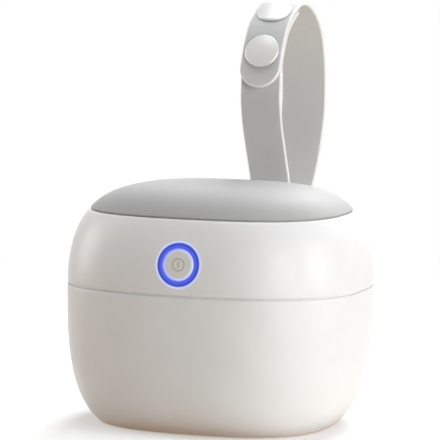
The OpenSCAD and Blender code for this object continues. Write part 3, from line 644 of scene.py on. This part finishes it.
def charging_slot():
    """A bar along X with a rounded-rectangle section, which cuts the slot"""
    z = foot_stand + button_height
    profile = []
    for k, (sy, sz) in enumerate(((1, 1), (-1, 1), (-1, -1), (1, -1))):
        for i in range(7):
            t = math.pi / 2 * (k + i / 6)
            profile.append((sy * (slot_wide / 2 - slot_corner) + slot_corner * math.cos(t),
                            z + sz * (slot_high / 2 - slot_corner) + slot_corner * math.sin(t)))
    return bar("slot", profile, slot_reach, slot_middle)


def strap_ear(side):
    """An ear that carries an end of the strap's pin"""
    y, z, root = strap_pin_at.y, strap_pin_at.z, half_depth - wall
    profile = [(root, z - ear_radius - 0.4 * mm)]
    profile += [(y + ear_radius * math.cos(t), z + ear_radius * math.sin(t))
                for t in map(math.radians, range(-98, 103, 8))]
    profile += [(root, z + ear_radius + 3 * mm)]
    middle = side * (strap_width / 2 + 0.5 * mm + ear_thickness / 2)
    return bar("ear", profile, ear_thickness, middle, chamfer=0.35 * mm)


def off_button(tree, start, end, at_start=0.0, at_end=1.0, how="LINEAR"):
    """A node whose value runs from one to another between two distances from the button"""
    place = add(tree, "TexCoord")
    off = add(tree, "VectorMath", ("operation", "DISTANCE"))
    off.inputs[1].default_value = button_at
    value = add(tree, "MapRange", ("interpolation_type", how),
                From_Min=start, From_Max=end, To_Min=at_start, To_Max=at_end)
    wire(tree, (place, "Object", off, 0), (off, "Value", value, "Value"))
    return value


def painted_ring_glow(finish, edge, end, strength):
    """Painted glow: the ring's blue light painted onto a plastic as emission, fading away from an
    edge of the ring
    """
    tree = finish.node_tree
    shader = tree.nodes["Principled BSDF"]
    shader.inputs["Emission Color"].default_value = (0.21, 0.35, 1, 1)
    glow = off_button(tree, edge, end, strength, 0.0, "SMOOTHERSTEP")
    wire(tree, (glow, "Result", shader, "Emission Strength"))


def lid_shell():
    seat = cap_thickness + seat_fit
    roof_under = [crown_ring(g, seat + wall) for g in crown_shares]
    high = rim_height - 3 * mm
    inside = [flat_ring(cover_ledge + (high - cover_ledge) * k / 16, lid_wall)
              for k in range(16, -1, -1)]
    lip = [flat_ring(cover_ledge, wall), flat_ring(lid_bottom + small_edge, wall),
           flat_ring(lid_bottom, wall + small_edge)]
    low_edge = soft_corner(lid_bottom, crisp_edge, rise=-1)[::-1]
    band = [flat_ring(lid_bottom + soft_edge + (rim_height - lid_bottom - 2 * soft_edge)
                      * (k / 36) ** 0.8, 0) for k in range(1, 36)]
    high_edge = soft_corner(rim_height, soft_edge)
    roof = [flat_ring(rim_height, seat)] + [crown_ring(g, seat) for g in crown_shares[::-1]]
    shell = loft("lid_shell", roof_under + inside + lip + low_edge + band + high_edge + roof)
    combine(shell, knuckle(1, 0, lid_knuckle_width), "UNION")
    for side in (-1, 1):
        combine(shell, strap_ear(side), "UNION")
    bore(shell, hinge_y, hinge_z, pin_radius + turning_fit)
    bore(shell, *strap_pin_at.yz, strap_pin_radius + pressed_fit)
    combine(shell, rod(ring_radius + seat_fit, button_at - 5 * mm * button_in,
                       button_at + 4.5 * mm * button_in, 128))
    combine(shell, charging_slot())
    finish = white_plastic("white_lid")
    # painted glow of the ring's blue light on the lid round the ring
    painted_ring_glow(finish, ring_radius, ring_radius + 0.9 * mm, 0.45)
    fit(shell, "lid", finish, "lid_shell")


lid_shell()

# --------------------
# The strap's pin is a round bar of the same white plastic, pressed through the two
# ears behind the lid. The strap goes round it.
repaint("strap_pin", white_plastic("white_pin"))

# --------------------
# The mirror cover closes the lid from below: a plated moulding with a flat flange
# and a round-edged dome, a seat for the window at its top, and a groove for the seal.
dome_inset, dome_rise, window_radius = 13 * mm, 8 * mm, 12 * mm
dome_flat = window_radius + 7 * mm
cover_top = lid_bottom + dome_rise + mirror_thickness
window_hole, window_seat = window_radius - 1.2 * mm, cover_top - 1.3 * mm
seal_inset, seal_width, seal_groove = 7.9 * mm, 1.2 * mm, 1 * mm


def on_plan(angle, inset):
    """A point set in from the widest outline, at an angle in degrees"""
    c, s = math.cos(math.radians(angle)), math.sin(math.radians(angle))
    a, b = half_width - inset, half_depth - inset
    r = ((abs(c) / a) ** plan_power + (abs(s) / b) ** plan_power) ** (-1 / plan_power)
    return r * c, r * s


lid_screw_places = [on_plan(angle, wall + 3 * mm) for angle in (38, 142, 218, 322)]


def lid_reflector():
    a, b = half_width - dome_inset, half_depth - dome_inset
    bottom = foot_stand + lid_bottom

    def dome(grow, turns):
        return [section(dome_flat + (a - dome_flat) * math.cos(t) + grow,
                        dome_flat + (b - dome_flat) * math.cos(t) + grow,
                        bottom + dome_rise * math.sin(t) + grow) for t in turns]

    def circle(radius, z):
        return section(radius, radius, z, power=2)

    turns = quarter(24)
    edge = 0.4 * mm
    mouth = rounded(a, b, bottom, edge, edge, quarter(5)[:-1])
    under = [r for r in dome(0, turns) if r[0].z > bottom + edge]
    seat = foot_stand + window_seat
    well = [circle(window_hole + small_edge, bottom + dome_rise),
            circle(window_hole, bottom + dome_rise + small_edge), circle(window_hole, seat),
            circle(window_radius + seat_fit, seat),
            circle(window_radius + seat_fit, foot_stand + cover_top)]
    over = [r for r in dome(mirror_thickness, turns[::-1])
            if r[0].z > bottom + flange_thickness]
    corner = section(over[-1][0].x, over[-1][0].x - (a - b), bottom + flange_thickness)
    rim = [corner, flat_ring(lid_bottom + flange_thickness, wall + seat_fit),
           flat_ring(lid_bottom + small_edge, wall + seat_fit),
           flat_ring(lid_bottom, wall + seat_fit + small_edge)]
    near, far = seal_inset - seat_fit, seal_inset + seal_width + seat_fit
    groove = [section(half_width - g, half_depth - g, bottom + h)
              for g, h in ((near, 0), (near, seal_groove), (far, seal_groove), (far, 0))]
    cover = loft("mirror_cover", mouth + under + well + over + rim + groove, closed=True)
    for place in lid_screw_places:
        foot = Vector((*place, bottom - 1 * mm))
        head = foot + Vector((0, 0, 1 * mm + head_height))
        combine(cover, rod(head_radius + 0.1 * mm, foot, head))
    combine(cover, rod(ring_radius + 1.3 * mm, button_at - 3 * mm * button_in,
                       button_at + 4.2 * mm * button_in))
    fit(cover, "lid", mirror("mirror_cover"), "lid_reflector")


lid_reflector()

# --------------------
# Four more of the steel screws hold the mirror cover up against the lid's bosses.
# Two magnets in its flange sit over those of the base.
def lid_screws():
    z = foot_stand + lid_bottom + head_height
    screws = [pan_head(7 * mm, *place, z) for place in lid_screw_places]
    fit(joined("lid_screws", screws), "lid", steel("lid_screws", patch=2 * mm),
        "lid_screws")


lid_screws()
repaint("lid_magnets", steel("lid_magnets", nickel))

# --------------------
# A ring of pale silicone is pressed into the cover's groove. Its round lip lies on
# the bowl's flange when the lid is shut, and keeps the light in.
seal_out = 0.4 * mm
silicone_colour = (0.82, 0.82, 0.83)


def seal_ring():
    top = foot_stand + lid_bottom + seal_groove - seat_fit
    low = foot_stand + lid_bottom - seal_out
    half = seal_width / 2
    middle = half_width - seal_inset - half, half_depth - seal_inset - half
    lip = [(half * math.cos(t), low + half * (1 - math.sin(t)))
           for t in [math.pi * k / 12 for k in range(13)]]
    profile = [(half, top)] + lip + [(-half, top)]
    seal = loft("seal_ring", [section(middle[0] + g, middle[1] + g, z) for g, z in profile],
                closed=True)
    soft = moulded("seal_silicone", silicone_colour, 0.5, Subsurface_Weight=0.3,
                   Subsurface_Scale=1 * mm, relief=0.01 * mm)
    fit(seal, "lid", soft, "seal_ring")


seal_ring()

# --------------------
# A clear quartz window drops onto its seat at the dome's top, since quartz lets
# ultraviolet light through. A ring of silicone holds it down.
repaint("uv_window", moulded("quartz", (0.93, 0.96, 1.0), 0.05, uneven=0.02,
                                       relief=0.001 * mm, Transmission_Weight=1.0, IOR=1.46))
repaint("window_seal", moulded("window_silicone", silicone_colour, 0.5))

# --------------------
# The lamp board is white, with four gold-coloured lamp packages that look down through
# the window. Two screws hold it on posts of the mirror cover.
repaint("lamp_board", moulded("lamp_board", (0.84, 0.84, 0.82), 0.4, patch=4 * mm))
repaint("uv_lamps", moulded("lamps", (0.78, 0.7, 0.36), 0.2, patch=1 * mm, mottle=0.1))
repaint("lamp_screws", steel("lamp_screws"))

# --------------------
# The green main board stands behind the button on two posts of the lid. It carries
# the blue lights of the ring, the sensor that knows whether the lid is shut, and the
# push switch, whose plunger moves with the button.
def circuit_board(name):
    """Green lacquer over glass fibre"""
    return moulded(name, (0.03, 0.2, 0.09), 0.4, mottle=0.15, patch=2 * mm)


repaint("main_board", circuit_board("main_board"))
repaint("ring_leds", moulded("ring_lights", (0.2, 0.32, 0.95), 0.15,
                                         Emission_Color=(0.1, 0.2, 1, 1), Emission_Strength=1.0))
for node, finish_name in (("lid_sensor", "lid_sensor"), ("tact_switch", "tact_switch"),
                          ("switch_plunger", "plunger")):
    repaint(node, moulded(finish_name, (0.03, 0.03, 0.032), 0.5))

# --------------------
# The charging board lies on two posts of the mirror cover, behind the slot in the
# left wall, and carries the pressed-steel socket. Like screws hold both boards.
repaint("charge_board", circuit_board("charge_board"))
repaint("charge_socket", steel("socket", (0.66, 0.66, 0.68), 0.25, 3 * mm))
repaint("board_screws", steel("board_screws"))

# --------------------
# The battery is a flat cell in a foil pouch. A black foam pad with glue on both
# sides holds it under the lid's roof.
repaint("battery", moulded("battery_foil", (0.6, 0.62, 0.66), 0.35, Metallic=0.8,
                                           patch=6 * mm, mottle=0.05, relief=0.03 * mm))
repaint("battery_pad", moulded("foam", (0.05, 0.05, 0.05), 0.9, relief=0.05 * mm))

# --------------------
# The light ring is a translucent moulding whose face follows the curved wall, with
# the blue lights behind it. A flange inside the wall holds it in its bore.
ring_inner = button_radius + 0.1 * mm  # the lit part nearly meets the button
ring_depth, ring_flange = wall + 0.9 * mm, 1 * mm
ring_sink = 0.04 * mm  # how far the face lies under the wall
button_down = Vector((0, -math.sin(tilt), -math.cos(tilt)))
blue_stops = (  # the glow's colours across the ring
    (0.0, (0.30, 0.36, 0.90)), (0.12, (0.06, 0.09, 0.62)), (0.45, (0.035, 0.07, 0.60)),
    (0.72, (0.01, 0.025, 0.30)), (0.85, (0.02, 0.03, 0.26)), (1.0, (0.36, 0.42, 0.80)))


def wall_point(across, down, depth):
    """The point of the case's wall over a place on the button's face, set in by a depth"""
    start = button_at + Vector((across, 0, 0)) + down * button_down
    low, high = -1 * mm, 3 * mm
    for _ in range(36):
        middle = (low + high) / 2
        p = start + middle * button_in
        g = fullness(p.z - foot_stand)
        x, y = abs(p.x / half_width / g), abs(p.y / half_depth / g)
        inside = x ** plan_power + y ** plan_power < 1
        low, high = (low, middle) if inside else (middle, high)
    return start + (low + depth) * button_in


def wall_loop(radius, depth):
    """A round loop on the wall about the button's axis"""
    return [wall_point(radius * c, radius * s, depth) for c, s in around(128)]


def straight_loop(radius, depth):
    """A round loop square to the button's axis, at a depth behind its centre"""
    return [button_at + Vector((radius * c, 0, 0)) + radius * s * button_down + depth * button_in
            for c, s in around(128)]


def lit_blue():
    """Translucent blue, lit from behind: bright along its middle, darker at both edges"""
    finish = moulded("lit_blue", (0.012, 0.02, 0.2), 0.3, mottle=0.1, Coat_Weight=0.15,
                     Emission_Strength=1.0)
    tree = finish.node_tree
    glow = add(tree, "ValToRGB")
    ramp = glow.color_ramp
    ramp.interpolation = "EASE"
    for k, (position, colour) in enumerate(blue_stops):
        stop = ramp.elements[k] if k < 2 else ramp.elements.new(position)
        stop.position = position
        stop.color = (*colour, 1)
    wire(tree, (off_button(tree, ring_inner, ring_radius), "Result", glow, "Fac"),
         (glow, "Color", tree.nodes["Principled BSDF"], "Emission Color"))
    return finish


def light_ring():
    corner = ((0, 0.5), (0, 0.22), (0.05, 0.1), (0.14, 0.03), (0.3, 0.0))  # in millimetres
    face = ([(ring_inner + x * mm, depth) for x, depth in corner]
            + [((ring_inner + ring_radius) / 2, -0.06)]
            + [(ring_radius - x * mm, depth) for x, depth in corner[::-1]])
    loops = [wall_loop(radius, depth * mm + ring_sink) for radius, depth in face]
    inner, outer = button_radius + 1.2 * mm, ring_radius + ring_flange
    rear = ring_depth + ring_flange
    flange = [(ring_radius, ring_depth), (outer, ring_depth), (outer, rear), (inner, rear),
              (inner, ring_depth), (ring_inner, ring_depth)]
    ring = loft("light_ring", loops + [straight_loop(*f) for f in flange], closed=True)
    fit(ring, "lid", lit_blue(), "light_ring")


light_ring()

# --------------------
# The power button is a white plunger whose face follows the wall and lies a little
# under it. It moves straight in through the ring, with a flange behind to keep it
# in, and has a plain power sign in thin grey ink.
button_sink = 0.15 * mm
ink_top, ink_root = 0.125 * mm, 0.2 * mm  # depths under the wall: ink stands on the face
button_flange_at = ring_depth + 0.3 * mm
button_flange_width, button_flange = 0.9 * mm, 0.7 * mm
stem_radius, stem_end = 1.6 * mm, button_flange_at + 2.4 * mm


def power_button():
    face = [(x * mm, 0) for x in (0.02, 1.2, 2.4, 3.4)]
    face += [(button_radius - x * mm, depth * mm)
             for x, depth in ((0.4, 0.02), (0.15, 0.1), (0.03, 0.22), (0, 0.4))]
    loops = [wall_loop(radius, button_sink + depth) for radius, depth in face]
    outer, rear = button_radius + button_flange_width, button_flange_at + button_flange
    stem = [(button_radius, button_flange_at), (outer, button_flange_at), (outer, rear),
            (stem_radius, rear), (stem_radius, stem_end), (0.02 * mm, stem_end)]
    button = loft("power_button", loops + [straight_loop(*s) for s in stem])
    finish = moulded("button_plastic", (0.80, 0.79, 0.77), 0.38, soak=(0.1, 1 * mm))
    # painted glow of the ring's blue light on the button's edge
    painted_ring_glow(finish, button_radius, button_radius - 0.9 * mm, 0.5)
    fit(button, "button", finish, "power_button")


def power_sign():
    outer, line = 1.9 * mm, 0.27 * mm
    loops = [wall_loop(radius, depth) for radius, depth in (
        (outer, ink_root), (outer, ink_top), (outer - line, ink_top), (outer - line, ink_root))]
    ring = loft("sign", loops, closed=True)
    half, tall = 0.14 * mm, 0.9 * mm
    corners = [(-half, -tall), (half, -tall), (half, tall), (-half, tall)]
    stroke = loft("stroke", [[wall_point(x, y, depth) for x, y in corners]
                             for depth in (ink_root, ink_top)])
    ink = moulded("sign_ink", (0.46, 0.45, 0.42), 0.45, patch=1 * mm)
    fit(joined("power_sign", [ring, stroke]), "button", ink, "power_button")


power_button()
power_sign()

# --------------------
# The grey cap is a thin soft-touch dish laid over the lid's roof. A fine groove
# parts its edge from the white band.
def lid_cap():
    low, foot = rim_height + cap_groove, rim_height + 0.06 * mm
    under = [crown_ring(g, cap_thickness) for g in crown_shares]
    skirt = [flat_ring(foot, cap_thickness), flat_ring(foot, 0.65 * mm),
             flat_ring(low, 0.6 * mm)]
    edge = soft_corner(low, crisp_edge, rise=-1)[::-1]
    share = fullness(low + crisp_edge)
    dome = [crown_ring(share * math.cos(math.radians(84 * k / 48)), 0) for k in range(1, 49)]
    cap = loft("lid_cap", under + skirt + edge + dome)
    soft_touch = moulded("grey_cap", (0.43, 0.431, 0.434), 0.62, mottle=0.012, patch=14 * mm,
                         relief=0.008 * mm, Specular_IOR_Level=0.35)
    fit(cap, "lid", soft_touch, "lid_cap")


lid_cap()

# --------------------
# The strap is a soft silicone band, grey with a white edge, looped round its pin. Its
# two ends lie over each other at the top, in front. The routes are in millimetres
# back from the pin and up from it, on the band's middle.
rear_route = ((8.1, 2.3), (15.1, 7.7), (21.2, 13.6), (26.4, 21), (31, 29.9), (33.8, 37.9),
              (34.4, 46.4), (33, 56.4), (29, 65.1), (22.5, 71.1), (15.5, 74.1), (10.1, 74.3))
outer_route = ((5.5, 73), (1.1, 71.1), (-4.4, 67.7), (-8.3, 63.1), (-10.4, 59.5), (-12.5, 54.8))
front_route = ((-11.3, 49.5), (-11.5, 45.5), (-10.6, 40.8), (-8.9, 35.7), (-6.3, 30.5),
               (-3.6, 25.1), (-0.9, 19.6), (0.2, 14.4), (0, 8.9), (-1.7, 4.2))
strap_thickness = 1.3 * mm
wrap_radius = strap_pin_radius + 0.06 * mm + strap_thickness / 2
layer_pitch = strap_thickness + 0.25 * mm
strap_rear_width = 14.8 * mm
widen_from, widen_to = 8 * mm, 31 * mm
edge_band, edge_radius = 0.42 * mm, 0.4 * mm
over_route = [Vector(p) * mm for p in (rear_route[-1], *outer_route)]


def heading(points, k):
    """The way that a route goes at a point"""
    return (points[min(k + 1, len(points) - 1)] - points[max(k - 1, 0)]).normalized()


def left_of(v):
    """A direction turned a quarter to the left"""
    return Vector((-v.y, v.x))


def smooth_route(points, steps):
    """A smooth curve through points, each tangent weighted to the nearer side"""
    def tangent(k):
        if k in (0, len(points) - 1):
            return heading(points, k)
        before, after = points[k] - points[k - 1], points[k + 1] - points[k]
        share = after.length / before.length
        return (before * share + after / share).normalized()

    curve = []
    for k in range(len(points) - 1):
        a, b, reach = points[k], points[k + 1], (points[k + 1] - points[k]).length
        for t in [i / steps for i in range(steps)]:
            curve.append((1 + 2 * t) * (1 - t) ** 2 * a + t * (1 - t) ** 2 * reach * tangent(k)
                         + t * t * (3 - 2 * t) * b - t * t * (1 - t) * reach * tangent(k + 1))
    return curve + [points[-1]]


def strap_route():
    """The band's middle from its hidden end, round the pin, to its shown end"""
    inner = [over_route[k] + layer_pitch * left_of(heading(over_route, k))
             for k in range(1, len(over_route))]
    wrap = [wrap_radius * Vector((math.cos(a), math.sin(a)))
            for a in map(math.radians, (182, 210, 240, 270, 300))]
    points = inner + [Vector(p) * mm for p in front_route] + wrap
    points += [Vector(p) * mm for p in rear_route + outer_route]
    return smooth_route(points, 8)


def half_width_at(back):
    """Half the strap's width, which grows towards its rear leg"""
    t = min(max((back - widen_from) / (widen_to - widen_from), 0), 1)
    return (strap_width + (strap_rear_width - strap_width) * t * t * (3 - 2 * t)) / 2


def strap_ring(at, along, half, grey_half, scale=1.0):
    """The band's section at a place: two rounded edges, and five points across each face"""
    h, c = strap_thickness / 2 * scale, min(edge_radius, half * 0.9) * scale
    half = max(half, 0.05 * mm)
    edge = [(half - c + c * math.cos(t), h - c + c * math.sin(t)) for t in quarter(5)]
    face = [(min(grey_half, half - c) * s, h) for s in (1, 0.5, 0, -0.5, -1)]
    upper = edge + face + [(-x, y) for x, y in edge[::-1]]
    up = left_of(along)
    return [Vector((x, strap_pin_at.y + at.x - y * up.x, strap_pin_at.z + at.y - y * up.y))
            for x, y in upper + [(-x, -y) for x, y in upper]]


def strap():
    path = strap_route()
    half = strap_width / 2
    first, last = heading(path, 0), heading(path, len(path) - 1)
    loops = [strap_ring(path[0] - 0.3 * mm * first, first, half - 0.3 * mm, half - edge_band, 0.7),
             strap_ring(path[0] - 0.1 * mm * first, first, half - 0.08 * mm, half - edge_band,
                        0.93)]
    loops += [strap_ring(p, heading(path, k), half_width_at(p.x), half_width_at(p.x) - edge_band)
              for k, p in enumerate(path)]
    round_steps = 24
    for k in range(1, round_steps + 1):
        s = half * math.sin(math.pi / 2 * k / round_steps)
        w = math.sqrt(max(half ** 2 - s ** 2, 0))
        grey_half = math.sqrt(max((half - edge_band) ** 2 - s ** 2, 0))
        loops.append(strap_ring(path[-1] + last * s, last, w, grey_half,
                                1 if k < round_steps else 0.6))
    n = len(loops[0])
    white = [0 if 6 <= i % (n // 2) < 10 else 1 for i in range(n)] * (len(loops) - 1) + [1, 1]
    band = loft("strap", loops, crease=50, finishes=white)
    mesh = band.data
    mesh.materials.append(moulded("strap_grey", (0.62, 0.63, 0.64), 0.5, patch=10 * mm,
                                  relief=0.012 * mm, soak=(0.5, 2.5 * mm)))
    mesh.materials.append(moulded("strap_edge", (0.81, 0.81, 0.805), 0.42, soak=(0.2, 1 * mm)))
    fit(band, "strap", None, "strap")


strap()

# --------------------
# Two press snaps of pearly white plastic hold the strap's ends together. Each has a
# domed cap on the outside, its post through both layers, and a stud on the inside.
snap_places = (2, 5)  # their points in over_route
cap_radius, cap_height, cap_rim = 5.5 * mm, 1.5 * mm, 0.55 * mm
post_radius, post_bore, post_cover = 1.8 * mm, 1 * mm, 0.3 * mm
stud_radius, stud_height, core_radius = 4.2 * mm, 1 * mm, 0.9 * mm
middle_radius = 0.01 * mm  # where a turned face ends at its axis


def on_strap(k, depth):
    """Frame of a snap's piece: +Z goes in through both layers, from the outer one's middle"""
    at, inward = over_route[k], left_of(heading(over_route, k))
    turn = Matrix.Rotation(math.atan2(inward.y, inward.x) - math.pi / 2, 4, "X")
    return (Matrix.Translation((0, strap_pin_at.y + at.x, strap_pin_at.z + at.y)) @ turn
            @ Matrix.Translation((0, 0, depth)))


def snap_caps():
    crown = [(cap_radius * s, -cap_height * (1 - 0.48 * s ** 2))
             for s in (0.001, 0.12, 0.24, 0.36, 0.48, 0.6, 0.72, 0.82)]
    rim = [(cap_radius - cap_rim + cap_rim * math.sin(t),
            -cap_height * 0.62 + cap_rim * (1 - math.cos(t)) * 0.9) for t in quarter(8)]
    foot = [(cap_radius, -0.12 * mm), (cap_radius - 0.12 * mm, 0)]
    post = [(post_radius, 0), (post_radius, layer_pitch), (post_bore, layer_pitch),
            (post_bore, post_cover), (middle_radius, post_cover)]
    caps = [lathe("cap", crown + rim + foot + post, on_strap(k, -strap_thickness / 2 + seat_fit))
            for k in snap_places]
    pearl = moulded("snap_white", (0.65, 0.65, 0.65), 0.4, uneven=0.02, Metallic=0.45)
    fit(joined("snap_caps", caps), "strap", pearl, "snap_caps")


def snap_studs():
    profile = [(middle_radius, stud_height * 0.75)]
    profile += [(stud_radius * r, stud_height * h) for r, h in (
        (0.35, 0.8), (0.5, 1), (0.8, 1), (0.95, 0.7), (1, 0.35), (1, 0))]
    core_end = 0.6 * mm - 2 * strap_thickness
    profile += [(core_radius, 0), (core_radius, core_end), (middle_radius, core_end)]
    depth = layer_pitch + strap_thickness / 2 - seat_fit
    studs = [lathe("stud", profile, on_strap(k, depth)) for k in snap_places]
    white = moulded("stud_white", (0.75, 0.75, 0.745), 0.24, Coat_Weight=0.3, Coat_Roughness=0.1)
    fit(joined("snap_studs", studs), "strap", white, "snap_studs")


snap_caps()
snap_studs()
